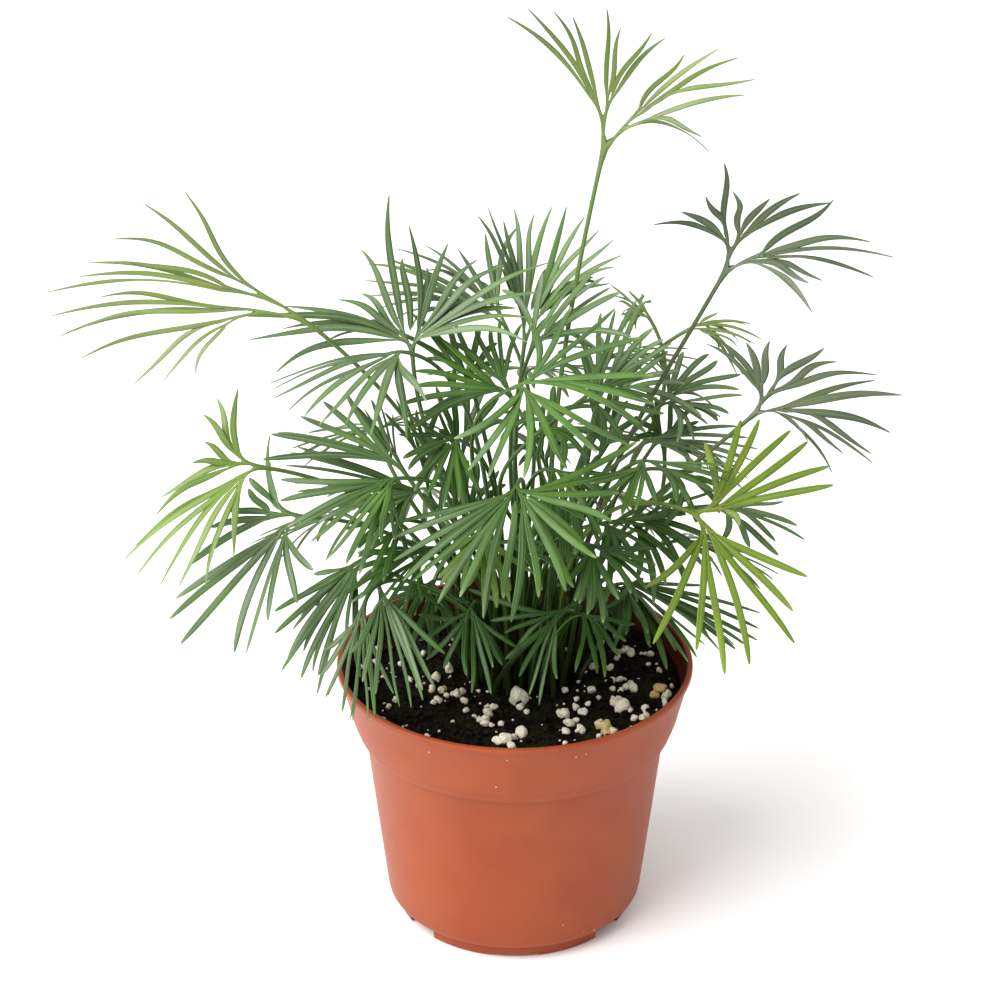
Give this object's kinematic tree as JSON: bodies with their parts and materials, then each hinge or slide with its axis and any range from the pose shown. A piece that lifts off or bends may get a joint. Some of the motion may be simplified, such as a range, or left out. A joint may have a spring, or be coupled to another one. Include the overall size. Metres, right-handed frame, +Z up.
{
  "type": "potted fern",
  "caption": "Eyelash fern with thin upright stalks and forked fans of narrow blades, growing in dark potting mix with perlite in a terracotta-coloured plastic nursery pot.",
  "frame": {"origin": "on the pot's axis, in the plane that its foot stands on", "axes": "+Z up along the pot's axis, -Y towards the side that the picture shows, +X to the right in it"},
  "size_m": [0.2456, 0.1856, 0.285],
  "materials": {
    "pot": "satin",
    "potting_mix": "matte",
    "young_frond": "matte",
    "mature_frond": "matte"
  },
  "bodies": {
    "root": {"pot": "pot", "potting_mix": "potting_mix", "tall_top": "young_frond", "far_left": "young_frond", "left_lime": "young_frond", "right_lime": "young_frond", "inner_young": "young_frond", "pale_back_right": "young_frond", "pale_back_right_2": "young_frond", "centre_right_up": "young_frond", "left_dark": "mature_frond", "upper_left_droop": "mature_frond", "upper_left_fan": "mature_frond", "back_top": "mature_frond", "back_left_top": "mature_frond", "centre_back": "mature_frond", "main_centre": "mature_frond", "centre_shadow": "mature_frond", "front_centre": "mature_frond", "left_mid_up": "mature_frond", "left_mid_droop": "mature_frond", "left_inner": "mature_frond", "upper_right_dark": "mature_frond", "right_dark": "mature_frond", "right_upper": "mature_frond", "right_middle": "mature_frond", "right_front": "mature_frond", "right_under": "mature_frond", "low_right": "mature_frond", "right_inner": "mature_frond", "right_inner_low": "mature_frond", "inner_right_front": "mature_frond", "low_front_left": "mature_frond", "low_front_right": "mature_frond", "low_front_edge": "mature_frond", "low_left": "mature_frond", "low_left_edge": "mature_frond", "low_left_dark": "mature_frond", "right_upper_2": "mature_frond", "centre_low": "mature_frond", "left_centre": "mature_frond", "back_left": "mature_frond", "back_middle": "mature_frond", "back_right": "mature_frond", "back_low_left": "mature_frond", "back_low_right": "mature_frond", "back_high_right": "mature_frond", "side_left_back": "mature_frond", "side_right_back": "mature_frond", "left_mid": "mature_frond", "low_left_up": "mature_frond", "right_mid_low": "mature_frond", "centre_right": "mature_frond", "centre_left_high": "mature_frond", "centre_mid": "mature_frond", "right_mid": "mature_frond", "left_low_fill": "mature_frond", "left_behind": "mature_frond", "low_left_behind": "mature_frond"}
  },
  "joints": []
}
